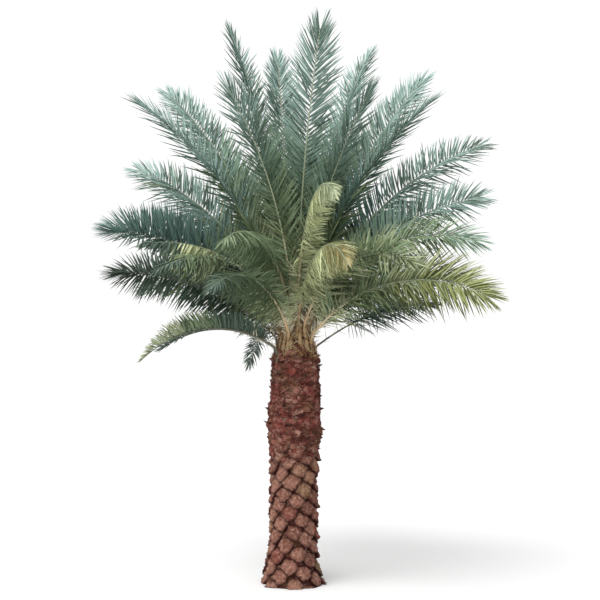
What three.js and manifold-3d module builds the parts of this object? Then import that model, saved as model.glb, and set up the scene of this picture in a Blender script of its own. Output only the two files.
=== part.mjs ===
// A date palm: one stout trunk, the spear of unopened leaves at its heart, and a round crown of fronds.
// Millimetres, +Z up. The origin is the middle of the flat cut where the trunk meets level ground.
import * as THREE from 'three';
import { mergeVertices } from 'three/addons/utils/BufferGeometryUtils.js';
import Module from 'manifold-3d';

const wasm = await Module();
wasm.setup();

const GAP = 0.3; // clearance between two pieces that touch

// Trunk: a flared foot, a clean shaft, a thicker collar of old leaf bases, and the head inside the crown.
const TRUNK_SIDES = 32;
const TRUNK_LEAN = 32; // how far the top of the head stands off plumb, towards +X
const FOOT_RADIUS = 284;
const SHAFT_RADIUS = 212;
const COLLAR_RADIUS = 242;
const NECK_RADIUS = 212;
const HEAD_TOP_RADIUS = 34;
const FLARE_HEIGHT = 420;
const COLLAR_START = 1160;
const COLLAR_FULL = 1340;
const COLLAR_SHOULDER = 1510;
const COLLAR_WAIST = 1770;
const NECK_HEIGHT = 2060;
const HEAD_TOP = 2590;
const FLARE_STEPS = 5;
const FLARE_POWER = 2; // how sharply the flare opens towards the ground

// Spear: the newest leaves, still folded together on the trunk's axis.
const SPEAR_RADIUS = 24;
const SPEAR_FOOT_RADIUS = 19;
const SPEAR_LENGTH = 900;
const SPEAR_SIDES = 10;

// Seats on the head: a flatter frond is older and leaves lower and further out than an upright one.
const LOW_SEAT = { rise: 35, radius: 190, height: 2120 };
const HIGH_SEAT = { rise: 88, radius: 45, height: 2530 };
const ROOT_DEPTH = 60; // how deep a stalk is rooted before it is cut by the head

// Blade: a thin diamond section that follows the frond's outline from bare stalk to tip.
const STALK_HALF_WIDTH = 27;
const STALK_NECK_HALF_WIDTH = 20;
const STALK_HALF_DEPTH = 13;
const TIP_HALF_DEPTH = 3;
const STALK_SHARE = 0.15; // share of the length that bears no leaflets
const WIDEST_AT = 0.45; // where along the leafy part the blade is widest
const BLADE_STEPS = 14;
const SPLIT_TURN = 76; // a frond that turns through more degrees than this is made in two pieces
const SPLIT_AT = 0.5;

// The crown, tier by tier from the heart outwards. Each frond has the azimuth that it points to, counted
// from +X towards +Y, its slope where it leaves the head, its slope at the tip, and its length.
const TIERS = [
  {
    name: 'inner',
    halfWidth: 185,
    color: 0x74887b,
    fronds: [
      { azimuth: 290, rise: 88, fall: 64, length: 2700 },
      { azimuth: 150, rise: 83, fall: 69, length: 3200 },
      { azimuth: 225, rise: 86, fall: 47, length: 2250 },
      { azimuth: 325, rise: 82, fall: 55, length: 2250 },
      { azimuth: 105, rise: 78, fall: 74, length: 3100 },
      { azimuth: 40, rise: 83, fall: 59, length: 3150 },
    ],
  },
  {
    name: 'upper',
    halfWidth: 220,
    color: 0x6f8378,
    fronds: [
      { azimuth: 27, rise: 75, fall: 46, length: 3250 },
      { azimuth: 345, rise: 77, fall: 37, length: 2550 },
      { azimuth: 279, rise: 79, fall: -46, length: 2480 },
      { azimuth: 190, rise: 75, fall: 32, length: 2700 },
      { azimuth: 145, rise: 73, fall: 41, length: 3350 },
      { azimuth: 121, rise: 69, fall: 36, length: 2700 },
      { azimuth: 84, rise: 71, fall: 40, length: 3000 },
      { azimuth: 60, rise: 74, fall: 38, length: 2900 },
    ],
  },
  {
    name: 'middle',
    halfWidth: 230,
    color: 0x5f7263,
    fronds: [
      { azimuth: 18, rise: 68, fall: 19, length: 3050 },
      { azimuth: 0, rise: 64, fall: 6, length: 2350 },
      { azimuth: 308, rise: 63, fall: -38, length: 1800 },
      { azimuth: 286, rise: 71, fall: -56, length: 1850 },
      { azimuth: 253, rise: 64, fall: -40, length: 2150 },
      { azimuth: 230, rise: 60, fall: -41, length: 1950 },
      { azimuth: 212, rise: 64, fall: -25, length: 1900 },
      { azimuth: 172, rise: 59, fall: -4, length: 2300 },
      { azimuth: 160, rise: 67, fall: 21, length: 2600 },
      { azimuth: 125, rise: 65, fall: 8, length: 2400 },
      { azimuth: 100, rise: 62, fall: 5, length: 2350 },
      { azimuth: 74, rise: 63, fall: 5, length: 2350 },
      { azimuth: 45, rise: 64, fall: 8, length: 2400 },
    ],
  },
  {
    name: 'lower',
    halfWidth: 235,
    color: 0x66744f,
    fronds: [
      { azimuth: 10, rise: 56, fall: -31, length: 2150 },
      { azimuth: 336, rise: 66, fall: -28, length: 2100 },
      { azimuth: 328, rise: 49, fall: -39, length: 2100 },
      { azimuth: 246, rise: 53, fall: -40, length: 1750 },
      { azimuth: 188, rise: 47, fall: -8, length: 1850 },
      { azimuth: 150, rise: 52, fall: -20, length: 2100 },
      { azimuth: 112, rise: 50, fall: -20, length: 2100 },
      { azimuth: 87, rise: 48, fall: -18, length: 2050 },
      { azimuth: 60, rise: 50, fall: -20, length: 2100 },
      { azimuth: 32, rise: 50, fall: -15, length: 2100 },
    ],
  },
  {
    name: 'bottom',
    halfWidth: 200,
    color: 0x4f5b48,
    fronds: [
      { azimuth: 44, rise: 32, fall: 0, length: 2350 },
      { azimuth: 215, rise: 32, fall: -49, length: 1600 },
      { azimuth: 110, rise: 40, fall: -54, length: 1600 },
      { azimuth: 155, rise: 36, fall: -36, length: 1500 },
      { azimuth: 86, rise: 38, fall: -10, length: 1900 },
    ],
  },
];

const { degToRad, lerp, clamp } = THREE.MathUtils;
const UP = new THREE.Vector3(0, 0, 1);

// How far the trunk's axis stands off plumb at a height.
const leanAt = (height) => TRUNK_LEAN * (height / HEAD_TOP);

function closedSolid(positions, triangles) {
  const vertProperties = new Float32Array(positions.flatMap((point) => point.toArray()));
  const triVerts = new Uint32Array(triangles.flat());
  return new wasm.Manifold(new wasm.Mesh({ numProp: 3, vertProperties, triVerts }));
}

// A three.js geometry as a solid: its vertices merged, and the flat triangles at a lathe's axis left out.
function solidFromGeometry(geometry) {
  geometry.deleteAttribute('normal');
  geometry.deleteAttribute('uv');
  const merged = mergeVertices(geometry, 1e-3);
  const corners = merged.index.array;
  const triangles = [];
  for (let i = 0; i < corners.length; i += 3) {
    const [a, b, c] = corners.slice(i, i + 3);
    if (a !== b && b !== c && c !== a) triangles.push([a, b, c]);
  }
  const place = merged.attributes.position;
  const positions = [];
  for (let i = 0; i < place.count; i += 1) {
    positions.push(new THREE.Vector3().fromBufferAttribute(place, i));
  }
  return closedSolid(positions, triangles);
}

function geometryFromSolid(solid) {
  const { vertProperties, triVerts } = solid.getMesh();
  const geometry = new THREE.BufferGeometry();
  geometry.setAttribute('position', new THREE.BufferAttribute(new Float32Array(vertProperties), 3));
  geometry.setIndex(new THREE.BufferAttribute(new Uint32Array(triVerts), 1));
  geometry.computeVertexNormals();
  return geometry;
}

// The trunk's outline from the axis at the ground to the axis at the top, grown by a margin.
function trunkProfile(margin) {
  const outline = [];
  for (let i = 0; i <= FLARE_STEPS; i += 1) {
    const share = i / FLARE_STEPS;
    outline.push([lerp(SHAFT_RADIUS, FOOT_RADIUS, (1 - share) ** FLARE_POWER), FLARE_HEIGHT * share]);
  }
  outline.push([SHAFT_RADIUS, COLLAR_START]);
  outline.push([COLLAR_RADIUS, COLLAR_FULL]);
  outline.push([lerp(COLLAR_RADIUS, NECK_RADIUS, 0.2), COLLAR_SHOULDER]);
  outline.push([lerp(COLLAR_RADIUS, NECK_RADIUS, 0.65), COLLAR_WAIST]);
  outline.push([NECK_RADIUS, NECK_HEIGHT]);
  outline.push([HEAD_TOP_RADIUS, HEAD_TOP + margin]);
  const points = outline.map(([radius, height]) => new THREE.Vector2(radius + margin, height));
  return [new THREE.Vector2(0, 0), ...points, new THREE.Vector2(0, HEAD_TOP + margin)];
}

function trunkSolid(margin = 0) {
  const geometry = new THREE.LatheGeometry(trunkProfile(margin), TRUNK_SIDES);
  geometry.rotateX(Math.PI / 2);
  const place = geometry.attributes.position;
  for (let i = 0; i < place.count; i += 1) {
    place.setX(i, place.getX(i) + leanAt(place.getZ(i)));
  }
  return solidFromGeometry(geometry);
}

function spearGeometry() {
  const outline = [
    [0, 0],
    [SPEAR_FOOT_RADIUS, 0],
    [SPEAR_RADIUS, SPEAR_LENGTH * 0.3],
    [SPEAR_RADIUS * 0.6, SPEAR_LENGTH * 0.75],
    [0, SPEAR_LENGTH],
  ];
  const points = outline.map(([radius, height]) => new THREE.Vector2(radius, height));
  const geometry = new THREE.LatheGeometry(points, SPEAR_SIDES);
  geometry.rotateX(Math.PI / 2);
  geometry.translate(leanAt(HEAD_TOP), 0, HEAD_TOP + GAP);
  return geometryFromSolid(solidFromGeometry(geometry));
}

// Where a frond's rib leaves the head: its distance from the trunk's axis, and its height.
function seatOf(frond) {
  const share = clamp((frond.rise - LOW_SEAT.rise) / (HIGH_SEAT.rise - LOW_SEAT.rise), 0, 1);
  return {
    radius: lerp(LOW_SEAT.radius, HIGH_SEAT.radius, share),
    height: lerp(LOW_SEAT.height, HIGH_SEAT.height, share),
  };
}

// A frond's rib is a circular arc in the upright plane through its azimuth. At a distance along it from
// the seat, this gives the point, the direction across the blade, and the one that its upper face has.
// A negative distance runs straight back into the head.
function ribFrame(frond, distance) {
  const seat = seatOf(frond);
  const rise = degToRad(frond.rise);
  const turn = degToRad(frond.rise - frond.fall);
  const bendRadius = frond.length / turn;
  const slope = rise - (turn * Math.max(distance, 0)) / frond.length;
  const rooted = Math.min(distance, 0);
  const reach = seat.radius + bendRadius * (Math.sin(rise) - Math.sin(slope)) + rooted * Math.cos(rise);
  const height = seat.height + bendRadius * (Math.cos(slope) - Math.cos(rise)) + rooted * Math.sin(rise);
  const azimuth = degToRad(frond.azimuth);
  const outward = new THREE.Vector3(Math.cos(azimuth), Math.sin(azimuth), 0);
  return {
    point: new THREE.Vector3(leanAt(seat.height), 0, height).addScaledVector(outward, reach),
    side: new THREE.Vector3(-outward.y, outward.x, 0),
    face: UP.clone().multiplyScalar(Math.cos(slope)).addScaledVector(outward, -Math.sin(slope)),
  };
}

// Half the blade's width at a share of its length: a narrow stalk, then a long lance of leaflets.
function halfWidthAt(share, widest) {
  if (share <= STALK_SHARE) {
    return lerp(STALK_HALF_WIDTH, STALK_NECK_HALF_WIDTH, Math.max(share, 0) / STALK_SHARE);
  }
  const leafy = (share - STALK_SHARE) / (1 - STALK_SHARE);
  const opening = Math.sin((Math.PI / 2) * Math.min(leafy / WIDEST_AT, 1));
  const closing = Math.sqrt(1 - Math.max((leafy - WIDEST_AT) / (1 - WIDEST_AT), 0) ** 2);
  return lerp(STALK_NECK_HALF_WIDTH, widest, opening * closing);
}

// The four corners of the blade's section at a share of its length.
function bladeRing(frond, share, widest) {
  const { point, side, face } = ribFrame(frond, share * frond.length);
  const halfWidth = halfWidthAt(share, widest);
  const halfDepth = lerp(STALK_HALF_DEPTH, TIP_HALF_DEPTH, Math.max(share, 0));
  return [
    point.clone().addScaledVector(side, halfWidth),
    point.clone().addScaledVector(face, halfDepth),
    point.clone().addScaledVector(side, -halfWidth),
    point.clone().addScaledVector(face, -halfDepth),
  ];
}

// A blade through its rings, with a flat start. It ends in its tip, or flat where it has none.
function bladeSolid(rings, tip) {
  const positions = rings.flat();
  const last = positions.length - 4;
  const triangles = [[0, 2, 1], [0, 3, 2]];
  for (let start = 0; start < last; start += 4) {
    for (let corner = 0; corner < 4; corner += 1) {
      const a = start + corner;
      const b = start + ((corner + 1) % 4);
      triangles.push([a, b, a + 4], [b, b + 4, a + 4]);
    }
  }
  if (tip) {
    positions.push(tip);
    for (let corner = 0; corner < 4; corner += 1) {
      triangles.push([last + corner, last + ((corner + 1) % 4), last + 4]);
    }
  } else {
    triangles.push([last, last + 1, last + 2], [last, last + 2, last + 3]);
  }
  return closedSolid(positions, triangles);
}

// The length of a frond between two shares of it. The first length starts inside the head.
function bladePart(frond, widest, from, to) {
  const steps = Math.round(BLADE_STEPS * (to - from));
  const rings = from === 0 ? [bladeRing(frond, -ROOT_DEPTH / frond.length, widest)] : [];
  for (let i = 0; i < steps; i += 1) {
    rings.push(bladeRing(frond, lerp(from, to, i / steps), widest));
  }
  if (to === 1) return bladeSolid(rings, ribFrame(frond, frond.length).point);
  rings.push(bladeRing(frond, to, widest));
  return bladeSolid(rings, null);
}

const palm = new THREE.Group();

function addPiece(name, geometry, color, roughness) {
  const mesh = new THREE.Mesh(geometry, new THREE.MeshStandardMaterial({ color, roughness, metalness: 0 }));
  mesh.name = name;
  palm.add(mesh);
}

// A frond in one piece, or in a stalk and a tip where it turns so far that it bends round a wide gap.
function addFrond(name, frond, tier, head) {
  const addLength = (pieceName, solid) => addPiece(pieceName, geometryFromSolid(solid), tier.color, 0.6);
  if (frond.rise - frond.fall <= SPLIT_TURN) {
    addLength(name, bladePart(frond, tier.halfWidth, 0, 1).subtract(head));
    return;
  }
  const tipStart = SPLIT_AT + GAP / frond.length;
  addLength(`${name}_stalk`, bladePart(frond, tier.halfWidth, 0, SPLIT_AT).subtract(head));
  addLength(`${name}_tip`, bladePart(frond, tier.halfWidth, tipStart, 1));
}

function addCrown() {
  const head = trunkSolid(GAP);
  for (const tier of TIERS) {
    tier.fronds.forEach((frond, i) => addFrond(`frond_${tier.name}_${i + 1}`, frond, tier, head));
  }
}

addPiece('trunk', geometryFromSolid(trunkSolid()), 0x765145, 0.9);
addPiece('spear', spearGeometry(), 0x8b9a70, 0.6);
addCrown();

export default palm;
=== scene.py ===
"""The looks of a date palm: bark, old leaf bases, ribs, spines and leaflets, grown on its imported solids.

Sizes are in metres unless a name says otherwise. Every fine part of the tree is a tube of some kind:
a leaflet, a rib, a spine, a strand of fibre and a leaf base are all rings of corners along a path.
"""

import math
from collections import namedtuple

import bpy
import numpy as np
from bpy.props import FloatProperty, FloatVectorProperty, IntProperty, PointerProperty
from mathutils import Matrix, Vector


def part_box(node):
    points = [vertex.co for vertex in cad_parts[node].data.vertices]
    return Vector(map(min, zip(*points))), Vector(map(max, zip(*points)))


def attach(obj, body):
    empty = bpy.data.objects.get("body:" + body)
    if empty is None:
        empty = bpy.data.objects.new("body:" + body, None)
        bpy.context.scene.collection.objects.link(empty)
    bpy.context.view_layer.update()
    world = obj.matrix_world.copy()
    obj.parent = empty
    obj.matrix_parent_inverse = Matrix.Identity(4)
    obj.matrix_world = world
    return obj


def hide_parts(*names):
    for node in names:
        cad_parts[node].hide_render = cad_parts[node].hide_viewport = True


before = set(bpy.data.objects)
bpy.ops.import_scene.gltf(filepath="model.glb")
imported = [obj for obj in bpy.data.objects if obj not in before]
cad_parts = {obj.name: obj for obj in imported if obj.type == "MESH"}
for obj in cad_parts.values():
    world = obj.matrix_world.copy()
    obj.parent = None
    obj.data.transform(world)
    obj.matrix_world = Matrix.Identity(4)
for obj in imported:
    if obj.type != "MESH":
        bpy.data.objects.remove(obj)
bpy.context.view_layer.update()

bl_info = {
    "name": "Date palm",
    "version": (1, 0, 0),
    "blender": (4, 5, 0),
    "location": "3D View > Sidebar > Date palm",
    "description": "Grows the bark, leaf bases, ribs, spines and leaflets of a date palm on its solids",
    "category": "Add Mesh",
}


SEED = 7
GOLDEN_TURN = math.pi * (3 - math.sqrt(5))  # from each leaf to the next one on the trunk, in radians
UP = np.array([0.0, 0.0, 1.0])
TIER_SLOTS = {
    "inner": "young_leaf",
    "upper": "blue_green_leaf",
    "middle": "green_leaf",
    "lower": "sunlit_leaf",
    "bottom": "shaded_leaf",
}


# ---------------------------------------------------------------- small helpers


def linear(colour):
    """The linear colour of an sRGB hex value, which is what Blender's sockets hold."""
    shares = [int(colour[i : i + 2], 16) / 255 for i in (0, 2, 4)]
    return [c / 12.92 if c <= 0.04045 else ((c + 0.055) / 1.055) ** 2.4 for c in shares]


def unit(vectors):
    return vectors / np.linalg.norm(vectors, axis=-1, keepdims=True)


def smooth_step(values, low, high):
    share = np.clip((values - low) / (high - low), 0, 1)
    return share * share * (3 - 2 * share)


def ripple(points, size, seed, waves=9):
    """A smooth random field from about -1 to 1, made of waves of about the given size."""
    rng = np.random.default_rng(seed)
    ways = unit(rng.normal(size=(waves, 3))) * rng.uniform(0.7, 1.5, (waves, 1)) * 2 * math.pi / size
    phases = rng.uniform(0, 2 * math.pi, waves)
    return np.sin(points @ ways.T + phases).mean(axis=-1) * 1.8


def circle(corners):
    return np.arange(corners) * 2 * math.pi / corners


def oval(corners, wide, deep, begin=0.0):
    """The corners of an oval section, as places across it and towards its face."""
    turns = circle(corners) + begin
    return np.stack([wide * np.cos(turns), deep * np.sin(turns)], axis=-1)


def outward(angle, rise=0.0):
    """Directions away from the trunk at an angle, which climb by a slope."""
    return np.stack([np.cos(angle), np.sin(angle), rise + 0 * angle], axis=-1)


def profile(places, table):
    """Values at some places, from a table of places and values."""
    return np.interp(places, *zip(*table))


# ---------------------------------------------------------------- what the solids say


CORNER_GRID = 1e-5  # corners closer than this are one
RING_GAP = 2e-3  # corners whose heights differ by less than this are on one ring
RING_CORNERS = 8  # a ring of the trunk has at least these
SEAT_SEARCH = 0.3  # how far back from a blade's foot the trunk's surface is looked for
SEAT_STEP = 0.005
SAME_SECTION = 0.01  # the halves of a split frond meet at sections closer than this


def merged_corners(node):
    """A solid's corners, each once, and for each one the set of corners that an edge joins it to."""
    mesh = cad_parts[node].data
    places = np.array([v.co for v in mesh.vertices])
    keys = [tuple(row) for row in np.round(places / CORNER_GRID).astype(int)]
    numbers = {key: i for i, key in enumerate(dict.fromkeys(keys))}
    corner_of = [numbers[key] for key in keys]
    points = np.zeros((len(numbers), 3))
    points[corner_of] = places
    joined = [set() for _ in numbers]
    for edge in mesh.edges:
        a, b = (corner_of[v] for v in edge.vertices)
        joined[a].add(b)
        joined[b].add(a)
    return points, joined


def trunk_rings():
    """The height, middle and radius of each ring of corners on the trunk's solid, from the ground up."""
    points, _ = merged_corners("trunk")
    rings = []
    for height in np.unique(np.round(points[:, 2], 3)):
        ring = points[np.abs(points[:, 2] - height) < RING_GAP]
        if len(ring) < RING_CORNERS:
            continue
        middle = (ring.min(0) + ring.max(0)) / 2
        radius = np.linalg.norm(ring[:, :2] - middle[:2], axis=1).max()
        rings.append((height, middle[0], middle[1], radius))
    return np.array(rings).T


RING_HEIGHTS, RING_X, RING_Y, RING_RADII = trunk_rings()
HEAD_TOP, NECK = RING_HEIGHTS[-1], RING_HEIGHTS[-2]
COLLAR_FOOT = RING_HEIGHTS[-6]
HEAD = np.array([RING_X[-1], RING_Y[-1], HEAD_TOP])


def trunk_radius(height):
    return np.interp(height, RING_HEIGHTS, RING_RADII)


def trunk_middle(height):
    """The point on the trunk's axis at a height."""
    x, y = (np.interp(height, RING_HEIGHTS, row) for row in (RING_X, RING_Y))
    return np.stack([x, y, height], axis=-1)


def on_trunk(angle, height, proud):
    """Points on the trunk at an angle and a height, stood off its solid's surface. None is below ground."""
    radius = trunk_radius(height) + proud
    points = trunk_middle(height) + radius[..., None] * outward(angle)
    points[..., 2] = np.maximum(height, 0.0)
    return points


def blade_sections(node, has_tip):
    """A blade's four-cornered sections from its far end back to the trunk, and its tip if it has one."""
    points, joined = merged_corners(node)
    far = np.argsort(-np.linalg.norm(points - HEAD, axis=1))
    front = set(far[: 1 if has_tip else 4].tolist())
    sections = [] if has_tip else [points[sorted(front)]]
    seen = set(front)
    while True:
        front = set().union(*(joined[corner] for corner in front)) - seen
        if len(front) != 4:
            break
        sections.append(points[sorted(front)])
        seen |= front
    return sections, points[far[0]]


class Frond:
    """A frond's rib: an arc in an upright plane, read from its blade.

    Distances run along the rib from the trunk's surface, where the frond leaves it.
    """

    def __init__(self, name, nodes):
        self.name = name
        self.nodes = nodes
        self.tier = name.split("_")[1]
        sections = []
        for node in sorted(nodes, key=lambda node: node.endswith("_stalk")):
            has_tip = not node.endswith("_stalk")
            found, end = blade_sections(node, has_tip)
            if has_tip:
                tip = end
            sections += found
        middles = np.array([section.mean(0) for section in reversed(sections)] + [tip])
        self.out = unit((tip - middles[0]) * [1, 1, 0])
        self.across = np.cross(UP, self.out)
        self.read_arc(middles)

    def read_arc(self, middles):
        """Fits an arc to the blade's middle line: its slope at the start, and how fast that turns."""
        steps = np.diff(middles, axis=0)
        lengths = np.linalg.norm(steps, axis=1)
        kept = lengths > SAME_SECTION
        distances = np.concatenate([[0], np.cumsum(lengths)])
        slopes = np.arctan2(steps[:, 2], steps @ self.out)
        self.turn, self.slope = np.polyfit((distances[:-1] + lengths / 2)[kept], slopes[kept], 1)
        self.start = middles[0]
        self.length = distances[-1]
        self.seat_at_surface()

    def seat_at_surface(self):
        """Moves the arc's start back along it to where it meets the trunk."""
        back = 0.0
        while back < SEAT_SEARCH:
            point = self.at(-back)[0]
            off_axis = np.linalg.norm(point - trunk_middle(point[2]))
            if off_axis < trunk_radius(point[2]) and point[2] < HEAD_TOP:
                break
            back += SEAT_STEP
        self.start = self.at(-back)[0]
        self.slope -= self.turn * back
        self.length += back

    def at(self, distance):
        """The point of the rib at a distance, and its directions along, across and up through the blade."""
        distance = np.asarray(distance, float)
        slope = self.slope + self.turn * distance
        reach = (np.sin(slope) - math.sin(self.slope)) / self.turn
        rise = -(np.cos(slope) - math.cos(self.slope)) / self.turn
        along = self.out * np.cos(slope)[..., None] + UP * np.sin(slope)[..., None]
        face = UP * np.cos(slope)[..., None] - self.out * np.sin(slope)[..., None]
        point = self.start + self.out * reach[..., None] + UP * rise[..., None]
        return point, along, np.broadcast_to(self.across, along.shape), face


def read_fronds():
    """Every frond of the crown, by its name without the ending of a half."""
    groups = {}
    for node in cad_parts:
        if node.startswith("frond_"):
            groups.setdefault("_".join(node.split("_")[:3]), []).append(node)
    return [Frond(name, sorted(nodes)) for name, nodes in sorted(groups.items())]


FRONDS = read_fronds()


def fronds_of(tier):
    """A tier's fronds, and the nodes of their blades."""
    fronds = [frond for frond in FRONDS if frond.tier == tier]
    return fronds, [node for frond in fronds for node in frond.nodes]


# ---------------------------------------------------------------- meshes


GRAIN_STEP = 3.7  # keeps the patterns of two tubes in a piece apart


def tube_faces(stations, corners, has_tip):
    """One tube's faces as corner numbers, with the places of those corners on its patch of the bake's map.

    A tube's rings run anticlockwise as seen from its far end. It has a flat start, and a tip or a flat end.
    """
    faces, places = [], []
    rows = stations if has_tip else stations - 1
    last = (stations - 1) * corners

    def spread(corner, station, *steps):
        return [((corner + i) / corners, 0.1 + 0.9 * (station + j) / rows) for i, j in steps]

    for station in range(stations - 1):
        for corner in range(corners):
            a, b = station * corners + corner, station * corners + (corner + 1) % corners
            faces.append((a, b, b + corners, a + corners))
            places += spread(corner, station, (0, 0), (1, 0), (1, 1), (0, 1))
    rim = [(0.5 + 0.45 * math.cos(turn), 0.04 + 0.03 * math.sin(turn)) for turn in circle(corners)]
    faces.append(tuple(range(corners - 1, -1, -1)))
    places += rim[::-1]
    if not has_tip:
        faces.append(tuple(range(last, last + corners)))
        return faces, places + rim
    for corner in range(corners):
        faces.append((last + corner, last + (corner + 1) % corners, last + corners))
        places += spread(corner, stations - 1, (0, 0), (1, 0), (0.5, 1))
    return faces, places


def tube_mesh(name, rings, tips=None, shades=None, along=None, creased=False):
    """A mesh of tubes. rings is tubes x stations x corners x 3, and tips, if any, tubes x 3.

    shades gives each tube's material. The mesh carries three attributes for its materials: grain, a place
    round and along each tube in metres; along, from 0 at its start to 1 at its end; and tone, one random
    number for each tube. creased keeps the lengthwise edges sharp.
    """
    tubes, stations, corners = rings.shape[:3]
    points = rings.reshape(tubes, -1, 3)
    if tips is not None:
        points = np.concatenate([points, tips[:, None]], axis=1)
    per_tube = points.shape[1]
    faces, places = tube_faces(stations, corners, tips is not None)
    loops = np.concatenate([np.array(face) for face in faces])
    starts = np.cumsum([0] + [len(face) for face in faces[:-1]])
    number = np.arange(tubes)[:, None]
    mesh = bpy.data.meshes.new(name)
    mesh.vertices.add(tubes * per_tube)
    mesh.vertices.foreach_set("co", points.astype(np.float32).ravel())
    mesh.loops.add(tubes * len(loops))
    mesh.loops.foreach_set("vertex_index", (loops + per_tube * number).ravel())
    mesh.polygons.add(tubes * len(faces))
    mesh.polygons.foreach_set("loop_start", (starts + len(loops) * number).ravel())
    if shades is not None:
        mesh.polygons.foreach_set("material_index", np.repeat(shades, len(faces)))
    mesh.update(calc_edges=True)
    mesh.shade_smooth()
    if creased:
        crease_lengthwise(mesh, per_tube, corners)
    lay_out_patches(mesh, tubes, np.array(places))
    write_attributes(mesh, rings, tips, along)
    return mesh


def crease_lengthwise(mesh, per_tube, corners):
    """Marks the edges that run along the tubes as sharp."""
    ends = np.zeros(len(mesh.edges) * 2, int)
    mesh.edges.foreach_get("vertices", ends)
    ends = ends.reshape(-1, 2) % per_tube
    sharp = (ends[:, 0] % corners == ends[:, 1] % corners) | (ends.max(axis=1) == per_tube - 1)
    mesh.attributes.new("sharp_edge", "BOOLEAN", "EDGE").data.foreach_set("value", sharp)


def lay_out_patches(mesh, tubes, places):
    """The map that a bake uses: one square patch for each tube, in rows, with a margin round it."""
    side = math.ceil(math.sqrt(tubes))
    patch = np.stack([np.arange(tubes) % side, np.arange(tubes) // side], axis=-1)[:, None]
    spots = (patch + 0.04 + 0.92 * places) / side
    mesh.uv_layers.new(name="OFBake").uv.foreach_set("vector", spots.astype(np.float32).ravel())


def write_attributes(mesh, rings, tips, along):
    """Gives the mesh its grain, along and tone, at every corner."""
    tubes, stations, corners = rings.shape[:3]
    middles = rings.mean(axis=2)
    metres = np.cumsum(np.linalg.norm(np.diff(middles, axis=1, prepend=middles[:, :1]), axis=-1), axis=1)
    girth = np.linalg.norm(rings - middles[:, :, None], axis=-1).mean(axis=(1, 2))[:, None, None]
    grain = np.empty(rings.shape)
    grain[..., :2] = girth[..., None] * oval(corners, 1, 1)
    grain[..., 2] = metres[..., None]
    grain = grain.reshape(tubes, -1, 3)
    if along is None:
        along = np.broadcast_to(np.linspace(0, 1, stations), (tubes, stations))
    shares = np.repeat(along, corners, axis=1)
    if tips is not None:
        shares = np.concatenate([shares, shares[:, -1:]], axis=1)
        grain = np.concatenate([grain, metres[:, -1:, None] * UP], axis=1)
    tones = np.repeat(np.random.default_rng(SEED).uniform(size=(tubes, 1)), grain.shape[1], axis=1)
    for name, kind, key, values in (
        ("grain", "FLOAT_VECTOR", "vector", grain + tones[..., None] * GRAIN_STEP),
        ("along", "FLOAT", "value", shares),
        ("tone", "FLOAT", "value", tones),
    ):
        mesh.attributes.new(name, kind, "POINT").data.foreach_set(key, values.astype(np.float32).ravel())


def sweep(path, along, face, offsets):
    """Rings along paths: offsets hold each corner's place across the path and towards its face."""
    across = unit(np.cross(face, along))
    face = np.cross(along, across)
    return path[:, :, None] + offsets[..., :1] * across[:, :, None] + offsets[..., 1:] * face[:, :, None]


def add_piece(mesh, materials, nodes=()):
    piece = bpy.data.objects.new(mesh.name, mesh)
    bpy.context.scene.collection.objects.link(piece)
    for material in materials:
        mesh.materials.append(material)
    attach(piece, "root")
    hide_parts(*nodes)


# ---------------------------------------------------------------- materials


def add_node(material, kind, settings=None, **inputs):
    """Adds a node with its settings. An input is a value, or the output of another node to link.

    An input's name has _ for a space, and _ with a number is the input of that number.
    """
    tree = material.node_tree
    node = tree.nodes.new(kind)
    for name, value in (settings or {}).items():
        setattr(node, name, value)
    for name, value in inputs.items():
        socket = node.inputs[int(name[1:])] if name[1:].isdigit() else node.inputs[name.replace("_", " ")]
        if isinstance(value, bpy.types.NodeSocket):
            tree.links.new(value, socket)
        else:
            socket.default_value = value
    return node


def new_material(name):
    material = bpy.data.materials.new(name)
    material.use_nodes = True
    material.node_tree.nodes.clear()
    return material


def pattern(material, place, size_mm, stretch=(1, 1, 1), detail=4, rough=0.6):
    """A noise pattern whose features are about a size in millimetres, stretched along an axis."""
    moved = add_node(material, "ShaderNodeMapping", Vector=place, Scale=[1 / s for s in stretch])
    inputs = {"Scale": 1000 / size_mm, "Detail": detail, "Roughness": rough}
    return add_node(material, "ShaderNodeTexNoise", Vector=moved.outputs[0], **inputs).outputs["Fac"]


def toned(material, name, stops):
    """Colours along one of the mesh's attributes: each stop is a place and a linear colour."""
    value = add_node(material, "ShaderNodeAttribute", {"attribute_name": name}).outputs["Fac"]
    node = add_node(material, "ShaderNodeValToRGB", Fac=value)
    elements = node.color_ramp.elements
    while len(elements) < len(stops):
        elements.new(0.5)
    for element, (place, colour) in zip(elements, stops):
        element.position = place
        element.color = (*colour, 1)
    return node.outputs["Color"]


def stained(material, colour, *stains):
    """A colour under stains. Each is its pattern, two of the pattern's values between which it comes up,
    how strong it is there, and its linear colour.
    """
    for spots, begin, end, most, stain in stains:
        share = add_node(
            material, "ShaderNodeMapRange", Value=spots, From_Min=begin, From_Max=end, To_Max=most
        ).outputs[0]
        sides = {"_6": colour, "_7": (*stain, 1)}
        colour = add_node(material, "ShaderNodeMix", {"data_type": "RGBA"}, _0=share, **sides).outputs[2]
    return colour


def finish(material, grain, roughness, relief, **inputs):
    """Ends a material with its shader. One pattern drives its roughness, a range, and its fine relief, which
    is a strength and a depth in millimetres.
    """
    low, high = roughness
    strength, depth_mm = relief
    rough = add_node(
        material, "ShaderNodeMapRange", Value=grain, From_Min=0.3, From_Max=0.7, To_Min=low, To_Max=high
    )
    bump = add_node(material, "ShaderNodeBump", Height=grain, Strength=strength, Distance=depth_mm / 1000)
    inputs.update(Roughness=rough.outputs[0], Normal=bump.outputs[0])
    shader = add_node(material, "ShaderNodeBsdfPrincipled", **inputs)
    add_node(material, "ShaderNodeOutputMaterial", Surface=shader.outputs[0])
    return material


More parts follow.
